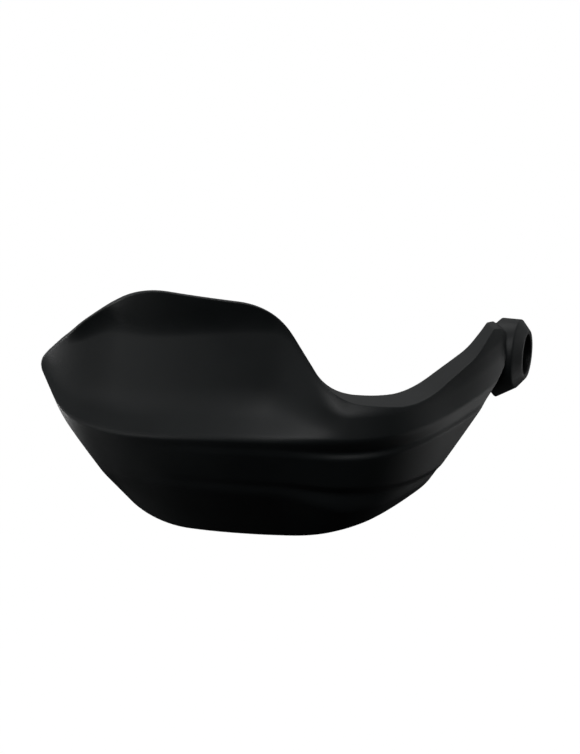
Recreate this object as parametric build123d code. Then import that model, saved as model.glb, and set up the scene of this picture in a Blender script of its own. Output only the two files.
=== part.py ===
from build123d import *
import math
import os

# Motorcycle hand guard for the left end of a handlebar, one plastic moulding with a threaded insert.
# Millimetres. Origin: on the axis of the bar-end bore, inside the eye.
# +X runs outward along the bar, -Y is forward, +Z is up.

# Eye that slides over the bar end: a round neck, and a larger collar whose heel hangs a little low
BORE_DIAMETER = 22.5
BORE_CHAMFER = 0.8
EYE_OUTER_X = 14.0
EYE_INNER_X = -9.0
EYE_FACE_DIAMETER = 27.0
NECK_DIAMETER = 31.0
COLLAR_HEEL_DIAMETER = 45.0
COLLAR_HEEL_DROP = 3.2
COLLAR_NOSE_DIAMETER = 38.8
COLLAR_LENGTH = 19.0
COLLAR_HEEL_CHAMFER = 3.0
COLLAR_NOSE = 5.0
GRIP_DIAMETER = 34.0
GRIP_CLEARANCE = 1.0

# Moulded wall, and the arm that is cored out behind it
WALL = 3.2
RIM_WALL = 3.6
POCKET_WALL = 3.8
POCKET_STATIONS = (0.53, 0.57, 0.615, 0.66, 0.71, 0.76, 0.82, 0.88)
RIB_THICKNESS = 2.4
RIB_POSITIONS = (0.67, 0.74, 0.80, 0.86)

# Threaded insert and the boss that holds it
THREAD_BORE_DIAMETER = 5.0
THREAD_CHAMFER = 0.6
INSERT_DIAMETER = 8.6
INSERT_LENGTH = 12.0
SCREW_RELIEF = 2.0
BOSS_DIAMETER = 15.0
BOSS_X = -172.0
BOSS_Z = 6.0
BOSS_BACK_Y = -66.0
BOSS_ROOT_Y = -100.0
BOSS_STATIONS = (0.2, 0.3, 0.4, 0.48, 0.53)
GUSSET_COUNT = 4
GUSSET_REACH = 15.0
GUSSET_DROP = 4.0
GUSSET_THICKNESS = 2.4

# Ridge line along the front, from beyond the inboard tip round to the bar end
RIDGE = [
    (-276, -67, 11),
    (-249, -82.5, -18),
    (-226, -95.5, -34),
    (-208, -101, -37),
    (-138, -114, -31),
    (-80, -111, -27),
    (-37, -94, -25),
    (-15, -64, -20),
    (1, -36, -11),
    (13, -4, -2),
]

# Outline that trims the moulding, on an upright plane turned toward the bar end: (along, up, corner radius)
OUTLINE_TURN = 30
OUTLINE = [
    (-258.4, -10.8, 7),
    (-234.2, 17.6, 60),
    (-203, 44.8, 34),
    (-135.5, 40.7, 34),
    (-108.3, -6.5, 28),
    (-61, -11.1, 50),
    (-24.6, 6.9, 40),
    (-10.6, 18.4, 2),
    (-2.5, 17.2, 4),
    (-5.5, -1, 14),
    (-53, -65, 20),
    (-114, -98.2, 58),
    (-197, -106.6, 35),
    (-226.2, -67.8, 60),
    (-246, -38.2, 60),
]

# Section sheets: corners from the lower edge to the upper edge as (height above ridge, setback behind ridge).
# The steps are fine lines on the front alone. The back follows the other corners.
TIP_SECTION = {
    "lower": [(-98, 55), (-51, 18)],
    "steps": [(-43, 15.2), (-36, 12.7), (-13, 4.6), (-7, 2.5)],
    "upper": [(0, 0), (3, 3), (9, 5.5), (27, 9), (84, -9)],
}
LEFT_SECTION = {
    "lower": [(-79, 51), (-32, 13.6)],
    "steps": [(-27, 11.5), (-23, 9.8), (-8.5, 3.6), (-4.5, 1.9)],
    "upper": [(0, 0), (13, 11), (31, 14.8), (56, 19), (112, 0)],
}
PANEL_SECTION = {
    "lower": [(-84, 54), (-37, 16)],
    "steps": [(-31, 13.4), (-27, 11.7), (-10, 4.3), (-6, 2.6)],
    "upper": [(0, 0), (16, 14), (34, 17.5), (58, 22), (120, -2)],
}
BEND_SECTION = {
    "lower": [(-72, 42), (-46, 18.5)],
    "steps": [(-34.5, 16.5), (-30, 11), (-11.5, 4.2), (-8, 5.3)],
    "upper": [(0, 0), (8, 1.8), (14, 3.2), (19, 7), (26, 14)],
}
ARM_SECTION = {
    "lower": [(-58, 26), (-42, 15)],
    "steps": [(-37, 13), (-34, 10.5), (-10, 2), (-6, 1)],
    "upper": [(0, 0), (6, 0.8), (12, 2), (18, 4.5), (25, 9)],
}
SECTIONS = (TIP_SECTION, LEFT_SECTION, PANEL_SECTION, BEND_SECTION, ARM_SECTION, ARM_SECTION)
FRONT_ROWS = ("lower", "steps", "upper")
BACK_ROWS = ("lower", "upper")
SECTION_POSITIONS = (0.1, 0.26, 0.53, 0.66, 0.82, 0.97)
STATIONS = (0, 0.08, 0.14, 0.2, 0.26, 0.33, 0.4, 0.48, 0.53, 0.57, 0.615, 0.66, 0.71, 0.76, 0.82, 0.88, 0.94, 1)

# Share of the neighbouring facets that a soft corner takes (below, above), between the two end corners
SOFT_CHORD_COUNT = 4
CRISP = (0, 0)
SOFTNESS = [(0.08, 0.45), CRISP, CRISP, CRISP, CRISP, (0.55, 0.2), (0.45, 0.6), (0.3, 0.4), (0.25, 0.2)]

# The arm is a channel with an upright back: how much of it each sheet has, and its setback behind the ridge
CHANNEL_SHARES = (0, 0, 0, 1, 1, 1)
CHANNEL_SETBACKS = (25.0, 25.0, 25.0, 25.0, 25.0, 20.0)

# How far a cutting shape runs past what it cuts
OVERLAP = 6.0
REACH = 200.0
FRONT_REACH = 50.0

ridge = Spline(*RIDGE)
seat_plane = Plane(origin=(BOSS_X, BOSS_BACK_Y, BOSS_Z), x_dir=(1, 0, 0), z_dir=(0, -1, 0))


def blend(position, values):
    """Value at a position along the ridge, eased between the section sheets."""
    if position <= SECTION_POSITIONS[0]:
        return values[0]
    for start, end, here, there in zip(SECTION_POSITIONS, SECTION_POSITIONS[1:], values, values[1:]):
        if position <= end:
            share = (position - start) / (end - start)
            return here + (there - here) * share * share * (3 - 2 * share)
    return values[-1]


def section_corners(position, rows):
    """Corners of the section at a position along the ridge, for the named rows of the sheets."""
    corners = []
    for row in rows:
        for corner in zip(*[sheet[row] for sheet in SECTIONS]):
            heights = [height for height, _ in corner]
            setbacks = [setback for _, setback in corner]
            corners.append((blend(position, heights), blend(position, setbacks)))
    return corners


def section_plane(position):
    """Upright plane across the ridge: local x points to the back, local y points up."""
    tangent = ridge % position
    inward = Vector(-tangent.Y, tangent.X, 0).normalized()
    return Plane(origin=ridge @ position, x_dir=inward, z_dir=inward.cross(Vector(0, 0, 1)))


def soft_corner(start, corner, end):
    """Points of the curve that leaves the start and meets the end along the two facets."""
    shares = [index / SOFT_CHORD_COUNT for index in range(SOFT_CHORD_COUNT + 1)]
    return [start * (1 - t) ** 2 + corner * 2 * t * (1 - t) + end * t**2 for t in shares]


def front_line(position):
    """Front of the section: facets, with the corners between them soft or crisp."""
    corners = [Vector(setback, height) for height, setback in section_corners(position, FRONT_ROWS)]
    points = [corners[0]]
    for before, corner, after, softness in zip(corners, corners[1:], corners[2:], SOFTNESS):
        if softness == CRISP:
            points.append(corner)
        else:
            below, above = softness
            points += soft_corner(corner + (before - corner) * below, corner, corner + (after - corner) * above)
    return points + [corners[-1]]


def wall_line(position, thickness):
    """Plain facets that leave a wall of the given thickness between themselves and the front."""
    corners = section_corners(position, BACK_ROWS)
    points = []
    for index, (height, setback) in enumerate(corners):
        low = corners[max(index - 1, 0)]
        high = corners[min(index + 1, len(corners) - 1)]
        slope = (high[1] - low[1]) / (high[0] - low[0])
        points.append(Vector(setback + thickness * math.hypot(1, slope), height))
    return points


def channel_line(points, position, clearance=0.0):
    """The given line, moved back to the upright back of the channel wherever it lies in front of it."""
    share = blend(position, CHANNEL_SHARES)
    setback = blend(position, CHANNEL_SETBACKS)
    return [Vector(point.X + share * max(setback - point.X, 0) + clearance, point.Y) for point in points]


def section_wire(position, front, back):
    """Closed outline across the ridge, from a front line and a back line that both run upward."""
    return section_plane(position) * Wire.make_polygon(front + back[::-1])


def moulding_blank():
    """The whole front with its soft facets, as deep as the moulding is before coring."""
    wires = []
    for position in STATIONS:
        back = channel_line(wall_line(position, WALL), position)
        wires.append(section_wire(position, front_line(position), back))
    return Solid.make_loft(wires)


def outline_prism(inset):
    """Everything within the trimming outline, kept the given distance inside it."""
    points = [(along, up) for along, up, _ in OUTLINE]
    radii = [radius for _, _, radius in OUTLINE]
    face = make_face(FilletPolyline(*points, radius=radii, close=True))
    if inset:
        face = offset(face, -inset)
    turned = Vector(1, 0, 0).rotate(Axis.Z, OUTLINE_TURN)
    plane = Plane(origin=(0, 0, 0), x_dir=turned, z_dir=turned.cross(Vector(0, 0, 1)))
    return extrude(plane * face, REACH, both=True)


def arm_pocket():
    """Space cored out of the back of the arm, with its cross ribs left standing."""
    wires = []
    for position in POCKET_STATIONS:
        floor = wall_line(position, POCKET_WALL)
        wires.append(section_wire(position, floor, channel_line(floor, position, OVERLAP)))
    pocket = Solid.make_loft(wires, ruled=True) & outline_prism(RIM_WALL)
    for position in RIB_POSITIONS:
        pocket -= section_plane(position) * Box(REACH, REACH, RIB_THICKNESS)
    return pocket


def grip_space():
    """Room for the grip and the bar inboard of the eye."""
    return extrude(Plane.YZ.offset(EYE_INNER_X) * Circle(GRIP_DIAMETER / 2 + GRIP_CLEARANCE), -REACH)


def eye():
    """Neck, and the collar that tapers from its low heel to the outer face, before the bore."""
    heel = EYE_OUTER_X - COLLAR_LENGTH
    nose = EYE_OUTER_X - COLLAR_NOSE
    rings = [
        (heel, COLLAR_HEEL_DIAMETER / 2 - COLLAR_HEEL_CHAMFER, COLLAR_HEEL_DROP),
        (heel + COLLAR_HEEL_CHAMFER, COLLAR_HEEL_DIAMETER / 2, COLLAR_HEEL_DROP),
        (nose, COLLAR_NOSE_DIAMETER / 2, 0),
        (EYE_OUTER_X, EYE_FACE_DIAMETER / 2, 0),
    ]
    circles = [Plane.YZ.offset(along) * Pos(0, -drop) * Circle(radius) for along, radius, drop in rings]
    neck = extrude(Plane.YZ.offset(EYE_INNER_X) * Circle(NECK_DIAMETER / 2), nose - EYE_INNER_X)
    return neck + loft(circles, ruled=True)


def bar_bore():
    """Through bore, its two mouths chamfered."""
    radius = BORE_DIAMETER / 2
    mouth = radius + BORE_CHAMFER + OVERLAP
    half = Polyline(
        (EYE_INNER_X - OVERLAP, 0),
        (EYE_INNER_X - OVERLAP, mouth),
        (EYE_INNER_X + BORE_CHAMFER, radius),
        (EYE_OUTER_X - BORE_CHAMFER, radius),
        (EYE_OUTER_X + OVERLAP, mouth),
        (EYE_OUTER_X + OVERLAP, 0),
        close=True,
    )
    return revolve(make_face(half), Axis.X)


def front_space(stations, depth):
    """Everything in front of a layer that lies the given depth behind the front."""
    wires = []
    for position in stations:
        back = wall_line(position, depth)
        wires.append(section_wire(position, [Vector(-FRONT_REACH, point.Y) for point in back], back))
    return Solid.make_loft(wires, ruled=True)


def insert_boss():
    """Boss and gussets on the back of the panel, their roots ending inside the wall."""
    length = BOSS_BACK_Y - BOSS_ROOT_Y
    radius = BOSS_DIAMETER / 2
    boss = Cylinder(radius, length, align=(Align.CENTER, Align.CENTER, Align.MIN))
    fin = Polyline(
        (0, GUSSET_DROP),
        (radius, GUSSET_DROP),
        (radius + GUSSET_REACH, length),
        (0, length),
        close=True,
    )
    for index in range(GUSSET_COUNT):
        turn = Rot(0, 0, 360 * (index + 0.5) / GUSSET_COUNT)
        boss += turn * extrude(Plane.XZ * make_face(fin), GUSSET_THICKNESS / 2, both=True)
    return seat_plane * boss - front_space(BOSS_STATIONS, WALL / 2)


def insert_seat():
    """Blind hole that the insert fills, with room for the screw tip beyond it."""
    depth = INSERT_LENGTH + SCREW_RELIEF
    return seat_plane * Cylinder(INSERT_DIAMETER / 2, depth, align=(Align.CENTER, Align.CENTER, Align.MIN))


def threaded_insert():
    """Brass sleeve with a lead-in at its mouth."""
    half = Polyline(
        (THREAD_BORE_DIAMETER / 2, THREAD_CHAMFER),
        (THREAD_BORE_DIAMETER / 2 + THREAD_CHAMFER, 0),
        (INSERT_DIAMETER / 2, 0),
        (INSERT_DIAMETER / 2, INSERT_LENGTH),
        (THREAD_BORE_DIAMETER / 2, INSERT_LENGTH),
        close=True,
    )
    return seat_plane * revolve(make_face(Plane.XZ * half), Axis.Z)


def guard_shell():
    """The whole moulding."""
    shell = moulding_blank() & outline_prism(0)
    shell -= arm_pocket()
    shell -= grip_space()
    shell += eye()
    shell -= bar_bore()
    shell += insert_boss()
    return shell - insert_seat()


os.makedirs("parts", exist_ok=True)
export_step(guard_shell(), "parts/guard_shell.step")
export_step(threaded_insert(), "parts/threaded_insert.step")
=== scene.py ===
import math

import bmesh
import bpy
import numpy as np
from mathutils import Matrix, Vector


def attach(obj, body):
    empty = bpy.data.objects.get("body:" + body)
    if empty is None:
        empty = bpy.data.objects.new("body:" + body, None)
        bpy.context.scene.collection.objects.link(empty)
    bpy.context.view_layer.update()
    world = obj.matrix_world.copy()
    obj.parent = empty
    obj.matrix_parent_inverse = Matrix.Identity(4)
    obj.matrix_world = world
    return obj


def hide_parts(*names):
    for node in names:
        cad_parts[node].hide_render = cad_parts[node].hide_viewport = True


# Motorcycle hand guard: one plastic moulding and its brass insert, in a plain studio.
# The moulding is drawn in millimetres, in the frame's own axes: +X outward, -Y forward, +Z up.
MM = 0.001
UP = np.array([0, 0, 1])
WHITE = (1, 1, 1, 1)

# Eye over the bar end
BORE_DIAMETER = 22.5
BORE_CHAMFER = 0.8
EYE_OUTER_X = 14.0
EYE_INNER_X = -9.0
EYE_FACE_DIAMETER = 27.0
NECK_DIAMETER = 31.0
COLLAR_HEEL_DIAMETER = 45.0
COLLAR_HEEL_DROP = 3.2
COLLAR_NOSE_DIAMETER = 38.8
COLLAR_LENGTH = 19.0
COLLAR_HEEL_CHAMFER = 3.0
COLLAR_NOSE = 5.0
GRIP_DIAMETER = 34.0
GRIP_CLEARANCE = 1.0

# Moulded wall, and the arm that is cored out behind it
WALL = 3.2
RIM_WALL = 3.6
POCKET_WALL = 3.8
POCKET_START = 0.53
POCKET_END = 0.88
RIB_THICKNESS = 2.4
RIB_POSITIONS = (0.67, 0.74, 0.80, 0.86)

# Threaded insert and the boss that holds it
THREAD_MINOR_DIAMETER = 5.0
THREAD_MAJOR_DIAMETER = 6.0
THREAD_PITCH = 1.0
THREAD_CHAMFER = 0.6
THREAD_CREST_FLAT = 0.25
THREAD_ROOT_FLAT = 0.125
INSERT_DIAMETER = 8.6
INSERT_EDGE = 0.2
INSERT_LENGTH = 12.0
SCREW_RELIEF = 2.0
BOSS_DIAMETER = 15.0
BOSS_X = -172.0
BOSS_Z = 6.0
BOSS_BACK_Y = -66.0
BOSS_ROOT_Y = -100.0
BOSS_REGION = (0.2, 0.53)
GUSSET_COUNT = 4
GUSSET_REACH = 15.0
GUSSET_DROP = 4.0
GUSSET_THICKNESS = 2.4

# Ridge line along the front, from beyond the inboard tip round to the bar end
RIDGE = [
    (-276, -67, 11),
    (-249, -82.5, -18),
    (-226, -95.5, -34),
    (-208, -101, -37),
    (-138, -114, -31),
    (-80, -111, -27),
    (-37, -94, -25),
    (-15, -64, -20),
    (1, -36, -11),
    (13, -4, -2),
]

# Outline that trims the moulding, on an upright plane turned toward the bar end: (along, up, corner radius)
OUTLINE_TURN = 30
OUTLINE = [
    (-258.4, -10.8, 7),
    (-234.2, 17.6, 60),
    (-203, 44.8, 34),
    (-135.5, 40.7, 34),
    (-108.3, -6.5, 28),
    (-61, -11.1, 50),
    (-24.6, 6.9, 40),
    (-10.6, 18.4, 2),
    (-2.5, 17.2, 4),
    (-5.5, -1, 14),
    (-53, -65, 20),
    (-114, -98.2, 58),
    (-197, -106.6, 35),
    (-226.2, -67.8, 60),
    (-246, -38.2, 60),
]

# Section sheets: corners from the lower edge to the upper edge as (height above ridge, setback behind ridge).
# The steps are fine lines on the front alone. The back follows the other corners.
TIP_SECTION = {
    "lower": [(-98, 55), (-51, 18)],
    "steps": [(-43, 15.2), (-36, 12.7), (-13, 4.6), (-7, 2.5)],
    "upper": [(0, 0), (3, 3), (9, 5.5), (27, 9), (84, -9)],
}
LEFT_SECTION = {
    "lower": [(-79, 51), (-32, 13.6)],
    "steps": [(-27, 11.5), (-23, 9.8), (-8.5, 3.6), (-4.5, 1.9)],
    "upper": [(0, 0), (13, 11), (31, 14.8), (56, 19), (112, 0)],
}
PANEL_SECTION = {
    "lower": [(-84, 54), (-37, 16)],
    "steps": [(-31, 13.9), (-27, 11.4), (-10, 3.9), (-6, 2.9)],
    "upper": [(0, 0), (16, 14), (34, 17.5), (58, 22), (120, -2)],
}
BEND_SECTION = {
    "lower": [(-72, 42), (-46, 17.2)],
    "steps": [(-34.5, 15.2), (-30, 11), (-11.5, 4.1), (-8.3, 5.4)],
    "upper": [(0, 0), (8, 1.8), (14, 3.2), (19, 7), (26, 14)],
}
ARM_SECTION = {
    "lower": [(-58, 26), (-42, 15)],
    "steps": [(-37, 13), (-34, 10.5), (-10, 1.75), (-7, 1.85)],
    "upper": [(0, 0), (6, 0.8), (12, 2), (18, 4.5), (25, 9)],
}
SECTIONS = (TIP_SECTION, LEFT_SECTION, PANEL_SECTION, BEND_SECTION, ARM_SECTION, ARM_SECTION)
SECTION_POSITIONS = (0.1, 0.26, 0.53, 0.66, 0.82, 0.97)
FRONT_ROWS = ("lower", "steps", "upper")
BACK_ROWS = ("lower", "upper")

# Share of the neighbouring facets that a soft corner takes (below, above), between the two end corners
FRONT_SOFTNESS = [
    (0.08, 0.45),
    (0.2, 0.2),
    (0.2, 0.06),
    (0.05, 0.3),
    (0.3, 0.15),
    (0.35, 0.2),
    (0.45, 0.6),
    (0.35, 0.5),
    (0.2, 0.15),
]
BACK_SOFTNESS = [(0.08, 0.3), (0.2, 0.2), (0.45, 0.6), (0.3, 0.4), (0.25, 0.2)]

# The arm is a channel with an upright back: how much of it each sheet has, and its setback behind the ridge
CHANNEL_SHARES = (0, 0, 0, 1, 1, 1)
CHANNEL_SETBACKS = (25.0, 25.0, 25.0, 25.0, 25.0, 20.0)

# How far a cutting shape runs past what it cuts
OVERLAP = 6.0
REACH = 200.0
FRONT_REACH = 50.0

# How finely shapes are drawn
RIDGE_POINTS_PER_SPAN = 400
STATION_COUNT = 280
POCKET_STATION_COUNT = 60
POCKET_STATION_MINIMUM = 4
CORNER_POINTS = 10
ARC_POINTS = 14
ROUND_POINTS = 160
THREAD_RINGS = 121
SHARP_EDGE_ANGLE = 35.0

# Even skin over the cut moulding: its grain, how much it is smoothed, and how many triangles are kept
SKIN_VOXEL = 0.24
SKIN_SMOOTHING = 22
SKIN_SMOOTHING_SHARE = 0.5
SKIN_TRIANGLES = 180000

# Camera that sees the guard as the photograph does
CAMERA_PLACE = (0.20045, -0.90287, 0.26565)
CAMERA_TURN = (73.0, 0.0, 20.0)
CAMERA_LENS = 80.64
CAMERA_SENSOR = 36.0
CAMERA_NEAR_LIMIT = 0.01

# Floor that shows white but throws little light back
FLOOR_HEIGHT = -0.60
FLOOR_SIZE = 30.0
FLOOR_COLOUR = (0.03, 0.03, 0.03, 1)
FLOOR_ROUGHNESS = 0.9

# Surroundings: their even fill, their strength in mirrors,
# and the limits between which that strength rises from none to full, going back and up
WORLD_FILL = 0.005
WORLD_MIRROR = 0.28
WORLD_FADE = (0.1, 0.7)

# Square soft boxes as (name, place, size, watts), all turned to one point on the guard
LIGHT_TARGET = (-0.13, -0.09, -0.02)
LIGHT_SPREAD = 60
LAMPS = [
    ("key", (-0.05, -0.83, 0.77), 0.45, 0.58),
    ("front_left", (-0.92, -0.80, 0.12), 0.45, 0.08),
    ("left", (-1.21, -0.28, 0.10), 0.45, 0.19),
    ("low_left", (-0.92, 0.12, -0.24), 0.3, 0.52),
    ("right", (0.77, 0.54, -0.02), 0.45, 0.22),
    ("low_right", (0.50, 0.35, -0.38), 0.3, 0.09),
    ("back", (-0.30, 0.40, 0.97), 0.45, 0.22),
]

# Finish of the plastic: two tones and two roughnesses under one cloudy pattern, and a fine moulded grain
PLASTIC_TONES = ((0.0095, 0.0114, 0.0122, 1), (0.0118, 0.0141, 0.0150, 1))
PLASTIC_TONE_LIMITS = (0.35, 0.65)
PLASTIC_ROUGHNESS = (0.46, 0.54)
PLASTIC_ROUGHNESS_LIMITS = (0.3, 0.7)
PLASTIC_SPECULAR = 0.35
PLASTIC_CLOUD_SCALE = 30.0
PLASTIC_CLOUD_DETAIL = 4.0
GRAIN_SCALE = 1900.0
GRAIN_DETAIL = 2.0
GRAIN_STRENGTH = 0.25
GRAIN_HEIGHT = 0.00004

# Finish of the brass: the same two pairs, and turning marks round the boss axis
BRASS_TONES = ((0.40, 0.27, 0.10, 1), (0.66, 0.48, 0.22, 1))
BRASS_TONE_LIMITS = (0.3, 0.7)
BRASS_ROUGHNESS = (0.24, 0.42)
BRASS_ROUGHNESS_LIMITS = (0.3, 0.7)
BRASS_CLOUD_SCALE = 500.0
BRASS_CLOUD_DETAIL = 5.0
TURNING_MARK_SCALE = 2600.0
TURNING_MARK_WAVER = 1.5
TURNING_MARK_STRENGTH = 0.3
TURNING_MARK_HEIGHT = 0.00002

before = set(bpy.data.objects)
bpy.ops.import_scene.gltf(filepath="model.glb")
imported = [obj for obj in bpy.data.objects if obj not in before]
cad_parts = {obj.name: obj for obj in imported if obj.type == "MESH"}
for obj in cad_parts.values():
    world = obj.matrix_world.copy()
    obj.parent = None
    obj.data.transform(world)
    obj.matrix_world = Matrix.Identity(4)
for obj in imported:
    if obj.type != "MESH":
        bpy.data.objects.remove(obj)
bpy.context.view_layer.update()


def spline_slopes(knots, points):
    """Slopes of the smooth curve through the points, set at each end by its four nearest points."""
    count = len(knots)
    steps = np.diff(knots)
    rates = np.diff(points, axis=0) / steps[:, None]
    matrix = np.eye(count)
    target = np.zeros_like(points)
    target[0] = np.polyfit(knots[:4] - knots[0], points[:4], 3)[2]
    target[-1] = np.polyfit(knots[-4:] - knots[-1], points[-4:], 3)[2]
    for index in range(1, count - 1):
        before, after = steps[index - 1], steps[index]
        matrix[index, index - 1 : index + 2] = (after, 2 * (before + after), before)
        target[index] = 3 * (after * rates[index - 1] + before * rates[index])
    return np.linalg.solve(matrix, target)


def sample_ridge():
    """Ridge points, their directions, and their distances along it from its start."""
    points = np.array(RIDGE, float)
    knots = np.concatenate([[0], np.cumsum(np.linalg.norm(np.diff(points, axis=0), axis=1))])
    slopes = spline_slopes(knots, points)
    places = []
    for index in range(len(points) - 1):
        step = knots[index + 1] - knots[index]
        share = np.linspace(0, 1, RIDGE_POINTS_PER_SPAN, endpoint=False)[:, None]
        places.append(
            points[index] * (1 + 2 * share) * (1 - share) ** 2
            + slopes[index] * step * share * (1 - share) ** 2
            + points[index + 1] * share**2 * (3 - 2 * share)
            + slopes[index + 1] * step * share**2 * (share - 1)
        )
    places = np.concatenate(places + [points[-1:]])
    directions = np.gradient(places, axis=0)
    lengths = np.concatenate([[0], np.cumsum(np.linalg.norm(np.diff(places, axis=0), axis=1))])
    return places, directions, lengths


ridge_places, ridge_directions, ridge_lengths = sample_ridge()
ridge_length = ridge_lengths[-1]
ridge_shares = ridge_lengths / ridge_length


def ease(position, values):
    """Value at a position along the ridge, eased between the section sheets."""
    if position <= SECTION_POSITIONS[0]:
        return values[0]
    for start, end, here, there in zip(SECTION_POSITIONS, SECTION_POSITIONS[1:], values, values[1:]):
        if position <= end:
            share = (position - start) / (end - start)
            return here + (there - here) * share * share * (3 - 2 * share)
    return values[-1]


def section_corners(position, rows):
    """Corners (setback, height) of the section at a position along the ridge, for the named rows."""
    sheets = np.array([sum([sheet[row] for row in rows], []) for sheet in SECTIONS], float)
    return ease(position, sheets)[:, ::-1]


def to_space(position, line):
    """Puts a section line (setback, height) into the frame at a position along the ridge."""
    place = [np.interp(position, ridge_shares, ridge_places[:, axis]) for axis in range(3)]
    along = [np.interp(position, ridge_shares, ridge_directions[:, axis]) for axis in range(2)]
    inward = np.array([-along[1], along[0], 0]) / math.hypot(*along)
    return np.array(place) + line[:, :1] * inward + line[:, 1:] * UP


def soften(corners, softness):
    """Facets with a soft curve at each corner between the two ends."""
    points = [corners[:1]]
    share = np.linspace(0, 1, CORNER_POINTS)[:, None]
    for before, corner, after, (below, above) in zip(corners, corners[1:], corners[2:], softness):
        start = corner + (before - corner) * below
        end = corner + (after - corner) * above
        points.append(start * (1 - share) ** 2 + corner * 2 * share * (1 - share) + end * share**2)
    return np.concatenate(points + [corners[-1:]])


def front_line(position):
    """Line of the front, with its steps."""
    return soften(section_corners(position, FRONT_ROWS), FRONT_SOFTNESS)


def wall_line(position, thickness):
    """Line that leaves a wall of the given thickness between itself and the front."""
    corners = section_corners(position, BACK_ROWS)
    inner_chords = corners[2:] - corners[:-2]
    end_chords = corners[[1, -1]] - corners[[0, -2]]
    chords = np.concatenate([end_chords[:1], inner_chords, end_chords[1:]])
    corners[:, 0] += thickness * np.hypot(1, chords[:, 0] / chords[:, 1])
    return soften(corners, BACK_SOFTNESS)


def channel_line(line, position, clearance=0.0):
    """The given line, moved back to the upright back of the channel wherever it lies in front of it."""
    share = ease(position, CHANNEL_SHARES)
    setback = ease(position, CHANNEL_SETBACKS)
    moved = line.copy()
    moved[:, 0] += share * np.maximum(setback - line[:, 0], 0) + clearance
    return moved


def add_piece(name, points, faces):
    """Puts a skin of points and faces into the scene, with its faces turned outward."""
    mesh = bpy.data.meshes.new(name)
    mesh.from_pydata((np.asarray(points) * MM).tolist(), [], faces)
    shape = bmesh.new()
    shape.from_mesh(mesh)
    bmesh.ops.recalc_face_normals(shape, faces=shape.faces)
    shape.to_mesh(mesh)
    shape.free()
    piece = bpy.data.objects.new(name, mesh)
    bpy.context.scene.collection.objects.link(piece)
    return piece


def ring_faces(ring_count, point_count, closed=False):
    """Quads between neighbouring rings of points, and from the last to the first if the skin is closed."""
    faces = []
    for ring in range(ring_count if closed else ring_count - 1):
        this_ring = ring * point_count
        next_ring = (ring + 1) % ring_count * point_count
        for index in range(point_count):
            after = (index + 1) % point_count
            faces.append([this_ring + index, this_ring + after, next_ring + after, next_ring + index])
    return faces


def loft(name, rings):
    """Closed skin over rings of equal point count, with a flat face at each end."""
    count = len(rings[0])
    last = (len(rings) - 1) * count
    ends = [list(range(count)), list(range(last, last + count))]
    return add_piece(name, np.concatenate(rings), ring_faces(len(rings), count) + ends)


def combine(piece, tool, operation):
    """Cuts, trims or adds a tool shape, which is then thrown away."""
    modifier = piece.modifiers.new(operation, "BOOLEAN")
    modifier.operation = operation
    modifier.solver = "MANIFOLD"
    modifier.object = tool
    apply_modifiers(piece)
    bpy.data.objects.remove(tool)


def apply_modifiers(piece):
    """Makes the changed shape the piece's own mesh."""
    graph = bpy.context.evaluated_depsgraph_get()
    mesh = bpy.data.meshes.new_from_object(piece.evaluated_get(graph))
    piece.modifiers.clear()
    piece.data = mesh


def moulding_blank():
    """The whole front, as deep as the moulding is before coring."""
    rings = []
    for position in np.linspace(0, 1, STATION_COUNT):
        front = front_line(position)
        back = channel_line(wall_line(position, WALL), position)
        rings.append(to_space(position, np.concatenate([front, back[::-1]])))
    return loft("shell", rings)


def rounded_outline(inset):
    """Trimming outline with round corners, kept the given distance inside it: points (along, up)."""
    corners = np.array([(along, up) for along, up, _ in OUTLINE], float)
    radii = [radius for _, _, radius in OUTLINE]
    ahead = np.roll(corners, -1, axis=0) - corners
    ahead /= np.linalg.norm(ahead, axis=1)[:, None]
    points = []
    for index, radius in enumerate(radii):
        arriving, leaving = ahead[index - 1], ahead[index]
        cross = arriving[0] * leaving[1] - arriving[1] * leaving[0]
        side = math.copysign(1, cross)
        half_turn = math.atan2(abs(cross), arriving @ leaving) / 2
        left = np.array([-arriving[1], arriving[0]])
        start = corners[index] - arriving * radius * math.tan(half_turn)
        centre = start + left * side * radius
        reach = radius + inset * side
        turns = np.linspace(0, 2 * half_turn, ARC_POINTS) * side
        outward = -left * side
        aside = np.array([-outward[1], outward[0]])
        for turn in turns:
            spoke = outward * math.cos(turn) + aside * math.sin(turn)
            points.append(centre + spoke * reach)
    return np.array(points)


def outline_prism(inset):
    """Block with the trimming outline, long enough to pass through the whole moulding."""
    line = rounded_outline(inset)
    turn = math.radians(OUTLINE_TURN)
    across = np.array([math.cos(turn), math.sin(turn), 0])
    through = np.array([-math.sin(turn), math.cos(turn), 0])
    flat = line[:, :1] * across + line[:, 1:] * UP
    return loft("outline", [flat - through * REACH, flat + through * REACH])


def pocket_spans():
    """Start and end of each space between the ribs of the arm."""
    half = RIB_THICKNESS / 2 / ridge_length
    starts = [POCKET_START] + [position + half for position in RIB_POSITIONS]
    ends = [position - half for position in RIB_POSITIONS] + [POCKET_END]
    return zip(starts, ends)


def arm_pocket(start, end):
    """Space cored out behind the arm between two ribs, inside its rim."""
    rings = []
    share = (end - start) / (POCKET_END - POCKET_START)
    count = max(POCKET_STATION_MINIMUM, int(POCKET_STATION_COUNT * share))
    for position in np.linspace(start, end, count):
        floor = wall_line(position, POCKET_WALL)
        back = channel_line(floor, position, OVERLAP)
        rings.append(to_space(position, np.concatenate([floor, back[::-1]])))
    pocket = loft("pocket", rings)
    combine(pocket, outline_prism(RIM_WALL), "INTERSECT")
    return pocket


def circle(centre, across, radius):
    """Round ring of points in the upright plane that holds the given level direction."""
    turns = np.linspace(0, 2 * math.pi, ROUND_POINTS, endpoint=False)[:, None]
    return np.array(centre) + radius * (np.cos(turns) * np.array(across) + np.sin(turns) * UP)


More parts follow.
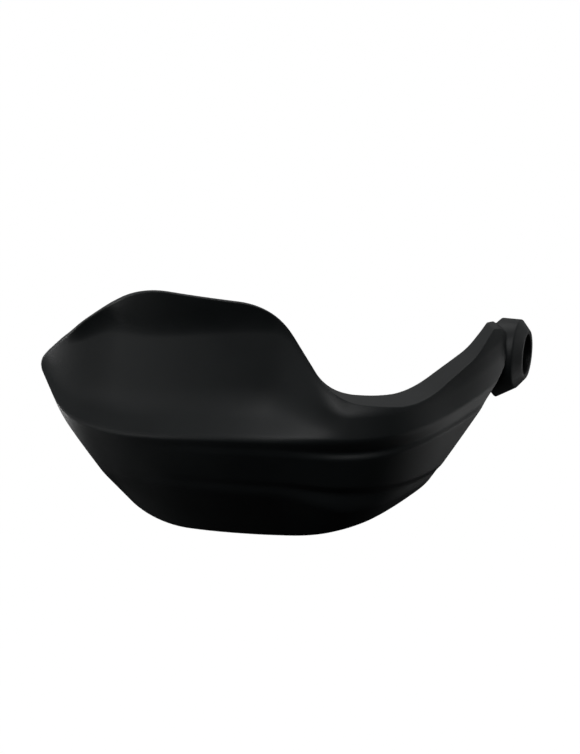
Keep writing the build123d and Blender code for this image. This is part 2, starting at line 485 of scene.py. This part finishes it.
def bar_rings(sizes):
    """Rings round the bar axis from (along, radius, drop)."""
    return [circle((along, 0, -drop), (0, 1, 0), radius) for along, radius, drop in sizes]


def boss_rings(sizes):
    """Rings round the boss axis from (depth, radius), the depth counted forward from the boss's face."""
    return [circle((BOSS_X, BOSS_BACK_Y - depth, BOSS_Z), (1, 0, 0), radius) for depth, radius in sizes]


def collar():
    """Collar of the eye, wider and lower at its heel and chamfered at its nose."""
    heel = EYE_OUTER_X - COLLAR_LENGTH
    return [
        (heel, COLLAR_HEEL_DIAMETER / 2 - COLLAR_HEEL_CHAMFER, COLLAR_HEEL_DROP),
        (heel + COLLAR_HEEL_CHAMFER, COLLAR_HEEL_DIAMETER / 2, COLLAR_HEEL_DROP),
        (EYE_OUTER_X - COLLAR_NOSE, COLLAR_NOSE_DIAMETER / 2, 0),
        (EYE_OUTER_X, EYE_FACE_DIAMETER / 2, 0),
    ]


def neck():
    """Sleeve that carries the bore from the collar to the eye's inner face."""
    radius = NECK_DIAMETER / 2
    return [(EYE_INNER_X, radius, 0), (EYE_OUTER_X - COLLAR_NOSE, radius, 0)]


def grip_space():
    """Room for the grip, up to the eye's inner face."""
    radius = GRIP_DIAMETER / 2 + GRIP_CLEARANCE
    return [(EYE_INNER_X - REACH, radius, 0), (EYE_INNER_X, radius, 0)]


def bar_bore():
    """Hole for the bar end, chamfered at both mouths."""
    radius = BORE_DIAMETER / 2
    mouth = radius + BORE_CHAMFER + OVERLAP
    return [
        (EYE_INNER_X - OVERLAP, mouth, 0),
        (EYE_INNER_X + BORE_CHAMFER, radius, 0),
        (EYE_OUTER_X - BORE_CHAMFER, radius, 0),
        (EYE_OUTER_X + OVERLAP, mouth, 0),
    ]


def front_space():
    """Everything in front of the middle of the wall, where the boss is rooted."""
    rings = []
    for position in np.linspace(*BOSS_REGION, POCKET_STATION_COUNT):
        back = wall_line(position, WALL / 2)
        front = back.copy()
        front[:, 0] = -FRONT_REACH
        rings.append(to_space(position, np.concatenate([front, back[::-1]])))
    return loft("front_space", rings)


def gusset(turn):
    """Fin on the side of the boss, turned about its axis."""
    length = BOSS_BACK_Y - BOSS_ROOT_Y
    radius = BOSS_DIAMETER / 2
    fin = [(0, GUSSET_DROP), (radius, GUSSET_DROP), (radius + GUSSET_REACH, length), (0, length)]
    out = np.array([math.cos(turn), 0, math.sin(turn)])
    aside = np.array([-math.sin(turn), 0, math.cos(turn)]) * GUSSET_THICKNESS / 2
    flat = [np.array([BOSS_X, BOSS_BACK_Y - depth, BOSS_Z]) + out * reach for reach, depth in fin]
    return loft("gusset", [np.array(flat) - aside, np.array(flat) + aside])


def insert_boss():
    """Boss and gussets on the back of the panel, their roots ending inside the wall."""
    radius = BOSS_DIAMETER / 2
    boss = loft("boss", boss_rings([(0, radius), (BOSS_BACK_Y - BOSS_ROOT_Y, radius)]))
    for index in range(GUSSET_COUNT):
        combine(boss, gusset(2 * math.pi * (index + 0.5) / GUSSET_COUNT), "UNION")
    combine(boss, front_space(), "DIFFERENCE")
    return boss


def insert_seat():
    """Hole for the insert, with room beyond it for the end of the screw."""
    radius = INSERT_DIAMETER / 2
    return boss_rings([(-OVERLAP, radius), (INSERT_LENGTH + SCREW_RELIEF, radius)])


def skin(piece):
    """Turns the cut shape into one even skin whose edges are lightly rounded, as moulded edges are."""
    remesh = piece.modifiers.new("remesh", "REMESH")
    remesh.mode = "VOXEL"
    remesh.voxel_size = SKIN_VOXEL * MM
    smooth = piece.modifiers.new("smooth", "SMOOTH")
    smooth.factor = SKIN_SMOOTHING_SHARE
    smooth.iterations = SKIN_SMOOTHING
    apply_modifiers(piece)
    quads = len(piece.data.polygons)
    decimate = piece.modifiers.new("decimate", "DECIMATE")
    decimate.ratio = min(1, SKIN_TRIANGLES / (2 * quads))
    apply_modifiers(piece)
    piece.data.validate()
    piece.data.shade_smooth()


def moulded_shell():
    """The whole moulding: trimmed, cored out behind the arm, and joined to the eye and the boss."""
    shell = moulding_blank()
    combine(shell, outline_prism(0), "INTERSECT")
    for start, end in pocket_spans():
        combine(shell, arm_pocket(start, end), "DIFFERENCE")
    combine(shell, loft("grip", bar_rings(grip_space())), "DIFFERENCE")
    combine(shell, loft("neck", bar_rings(neck())), "UNION")
    combine(shell, loft("collar", bar_rings(collar())), "UNION")
    combine(shell, loft("bore", bar_rings(bar_bore())), "DIFFERENCE")
    combine(shell, insert_boss(), "UNION")
    combine(shell, loft("seat", insert_seat()), "DIFFERENCE")
    skin(shell)
    shell.data.materials.clear()
    shell.data.materials.append(plastic())
    shell.name = "moulded_shell"
    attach(shell, "root")
    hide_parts("guard_shell")


def thread_radius(depth):
    """Radius of the internal thread round the axis at a depth from the mouth, with its lead-in."""
    turns = np.linspace(0, 1, ROUND_POINTS, endpoint=False)[:, None]
    rise = np.abs(2 * ((depth / THREAD_PITCH - turns) % 1) - 1)
    rise = np.clip((rise - THREAD_CREST_FLAT) / (1 - THREAD_CREST_FLAT - THREAD_ROOT_FLAT), 0, 1)
    crest = THREAD_MINOR_DIAMETER / 2
    groove = crest + rise * (THREAD_MAJOR_DIAMETER - THREAD_MINOR_DIAMETER) / 2
    return np.maximum(groove, crest + THREAD_CHAMFER - depth)


def threaded_insert():
    """Brass sleeve with a cut thread, a lead-in and a broken outer edge."""
    radius = INSERT_DIAMETER / 2
    sizes = [(depth, thread_radius(depth)) for depth in np.linspace(0, INSERT_LENGTH, THREAD_RINGS)]
    sizes += [(INSERT_LENGTH, radius), (INSERT_EDGE, radius), (0, radius - INSERT_EDGE)]
    rings = boss_rings(sizes)
    faces = ring_faces(len(rings), ROUND_POINTS, closed=True)
    insert = add_piece("brass_insert", np.concatenate(rings), faces)
    insert.data.set_sharp_from_angle(angle=math.radians(SHARP_EDGE_ANGLE))
    insert.data.materials.append(brass())
    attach(insert, "root")
    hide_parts("threaded_insert")


def make_camera():
    """Camera of the photograph."""
    data = bpy.data.cameras.new("camera")
    data.lens = CAMERA_LENS
    data.sensor_width = CAMERA_SENSOR
    data.clip_start = CAMERA_NEAR_LIMIT
    camera = bpy.data.objects.new("camera", data)
    camera.location = CAMERA_PLACE
    camera.rotation_euler = [math.radians(angle) for angle in CAMERA_TURN]
    bpy.context.scene.collection.objects.link(camera)
    bpy.context.scene.camera = camera


def area_light(name, place, size, power):
    """Soft box that faces the guard."""
    data = bpy.data.lights.new(name, "AREA")
    data.shape = "SQUARE"
    data.size = size
    data.energy = power
    data.spread = math.radians(LIGHT_SPREAD)
    light = bpy.data.objects.new(name, data)
    light.location = place
    aim = Vector(LIGHT_TARGET) - Vector(place)
    light.rotation_euler = aim.to_track_quat("-Z", "Y").to_euler()
    bpy.context.scene.collection.objects.link(light)


def feed(tree, socket, value):
    """Links a socket to another one, or sets it to a value."""
    if isinstance(value, bpy.types.NodeSocket):
        tree.links.new(value, socket)
    else:
        socket.default_value = value


def node(tree, kind, **inputs):
    """New node with the named inputs set to values or linked to sockets."""
    made = tree.nodes.new(kind)
    for name, value in inputs.items():
        feed(tree, made.inputs[name.replace("_", " ")], value)
    return made


def math_node(tree, operation, first, second):
    """Result of an operation on two sockets or values."""
    made = tree.nodes.new("ShaderNodeMath")
    made.operation = operation
    feed(tree, made.inputs[0], first)
    feed(tree, made.inputs[1], second)
    return made.outputs[0]


def new_material(name):
    """New material with its node tree and its surface shader."""
    material = bpy.data.materials.new(name)
    material.use_nodes = True
    return material, material.node_tree, material.node_tree.nodes["Principled BSDF"]


def floor_white():
    """Floor that glows white to the camera alone."""
    material, tree, shader = new_material("floor_white")
    shader.inputs["Base Color"].default_value = FLOOR_COLOUR
    shader.inputs["Roughness"].default_value = FLOOR_ROUGHNESS
    shader.inputs["Specular IOR Level"].default_value = 0.0
    shader.inputs["Emission Color"].default_value = WHITE
    path = tree.nodes.new("ShaderNodeLightPath")
    tree.links.new(path.outputs["Is Camera Ray"], shader.inputs["Emission Strength"])
    return material


def make_floor():
    """Wide floor below the guard."""
    place = (LIGHT_TARGET[0], LIGHT_TARGET[1], FLOOR_HEIGHT)
    bpy.ops.mesh.primitive_plane_add(size=FLOOR_SIZE, location=place)
    floor = bpy.context.object
    floor.name = "floor"
    floor.data.materials.append(floor_white())


def toward_back(tree, direction):
    """Rises from none to one as a direction turns back and up."""
    parts = node(tree, "ShaderNodeSeparateXYZ", Vector=direction)
    rise = math_node(tree, "ADD", parts.outputs["Y"], parts.outputs["Z"])
    fade = node(tree, "ShaderNodeMapRange", Value=rise, From_Min=WORLD_FADE[0], From_Max=WORLD_FADE[1])
    return fade.outputs["Result"]


def make_world():
    """Surroundings that show white, are pale in mirrors behind and above, and give little light."""
    world = bpy.data.worlds.new("studio")
    bpy.context.scene.world = world
    world.use_nodes = True
    tree = world.node_tree
    background = tree.nodes["Background"]
    background.inputs["Color"].default_value = WHITE
    path = tree.nodes.new("ShaderNodeLightPath").outputs
    direction = tree.nodes.new("ShaderNodeTexCoord").outputs["Generated"]
    mirrored = math_node(tree, "MAXIMUM", path["Is Glossy Ray"], path["Is Transmission Ray"])
    mirrored = math_node(tree, "MULTIPLY", mirrored, WORLD_MIRROR)
    mirrored = math_node(tree, "MULTIPLY", mirrored, toward_back(tree, direction))
    seen = math_node(tree, "MAXIMUM", path["Is Camera Ray"], mirrored)
    total = math_node(tree, "MAXIMUM", seen, WORLD_FILL)
    tree.links.new(total, background.inputs["Strength"])


def noise(tree, place, scale, detail):
    """Cloudy pattern of the given fineness."""
    return node(tree, "ShaderNodeTexNoise", Vector=place, Scale=scale, Detail=detail).outputs["Fac"]


def vary_tone(tree, shader, pattern, tones, limits):
    """Lets a pattern move the colour from one tone to the other."""
    ramp = tree.nodes.new("ShaderNodeValToRGB")
    for step, tone, limit in zip(ramp.color_ramp.elements, tones, limits):
        step.position = limit
        step.color = tone
    tree.links.new(pattern, ramp.inputs["Fac"])
    tree.links.new(ramp.outputs["Color"], shader.inputs["Base Color"])


def vary_roughness(tree, shader, pattern, roughness, limits):
    """Lets a pattern move the roughness from one value to the other."""
    sheen = node(
        tree,
        "ShaderNodeMapRange",
        Value=pattern,
        From_Min=limits[0],
        From_Max=limits[1],
        To_Min=roughness[0],
        To_Max=roughness[1],
    )
    tree.links.new(sheen.outputs["Result"], shader.inputs["Roughness"])


def add_relief(tree, shader, pattern, strength, height):
    """Fine relief too small for the mesh."""
    bump = node(tree, "ShaderNodeBump", Strength=strength, Distance=height, Height=pattern)
    tree.links.new(bump.outputs["Normal"], shader.inputs["Normal"])


def plastic():
    """Black plastic with a fine moulded grain and a slightly uneven sheen."""
    material, tree, shader = new_material("guard_plastic")
    place = tree.nodes.new("ShaderNodeTexCoord").outputs["Object"]
    cloud = noise(tree, place, PLASTIC_CLOUD_SCALE, PLASTIC_CLOUD_DETAIL)
    grain = noise(tree, place, GRAIN_SCALE, GRAIN_DETAIL)
    vary_tone(tree, shader, cloud, PLASTIC_TONES, PLASTIC_TONE_LIMITS)
    vary_roughness(tree, shader, cloud, PLASTIC_ROUGHNESS, PLASTIC_ROUGHNESS_LIMITS)
    shader.inputs["Specular IOR Level"].default_value = PLASTIC_SPECULAR
    add_relief(tree, shader, grain, GRAIN_STRENGTH, GRAIN_HEIGHT)
    return material


def brass():
    """Turned brass: fine marks round the boss axis, and a slightly uneven colour."""
    material, tree, shader = new_material("turned_brass")
    place = tree.nodes.new("ShaderNodeTexCoord").outputs["Object"]
    to_axis = (-BOSS_X * MM, -BOSS_BACK_Y * MM, -BOSS_Z * MM)
    centred = node(tree, "ShaderNodeMapping", Vector=place, Location=to_axis).outputs["Vector"]
    marks = node(tree, "ShaderNodeTexWave", Vector=centred, Scale=TURNING_MARK_SCALE)
    marks.inputs["Distortion"].default_value = TURNING_MARK_WAVER
    marks.wave_type = "RINGS"
    marks.rings_direction = "Y"
    cloud = noise(tree, place, BRASS_CLOUD_SCALE, BRASS_CLOUD_DETAIL)
    vary_tone(tree, shader, cloud, BRASS_TONES, BRASS_TONE_LIMITS)
    vary_roughness(tree, shader, cloud, BRASS_ROUGHNESS, BRASS_ROUGHNESS_LIMITS)
    shader.inputs["Metallic"].default_value = 1.0
    add_relief(tree, shader, marks.outputs["Fac"], TURNING_MARK_STRENGTH, TURNING_MARK_HEIGHT)
    return material


make_camera()
make_floor()
make_world()
for lamp in LAMPS:
    area_light(*lamp)

moulded_shell()
threaded_insert()

bpy.context.scene.view_settings.view_transform = "Standard"
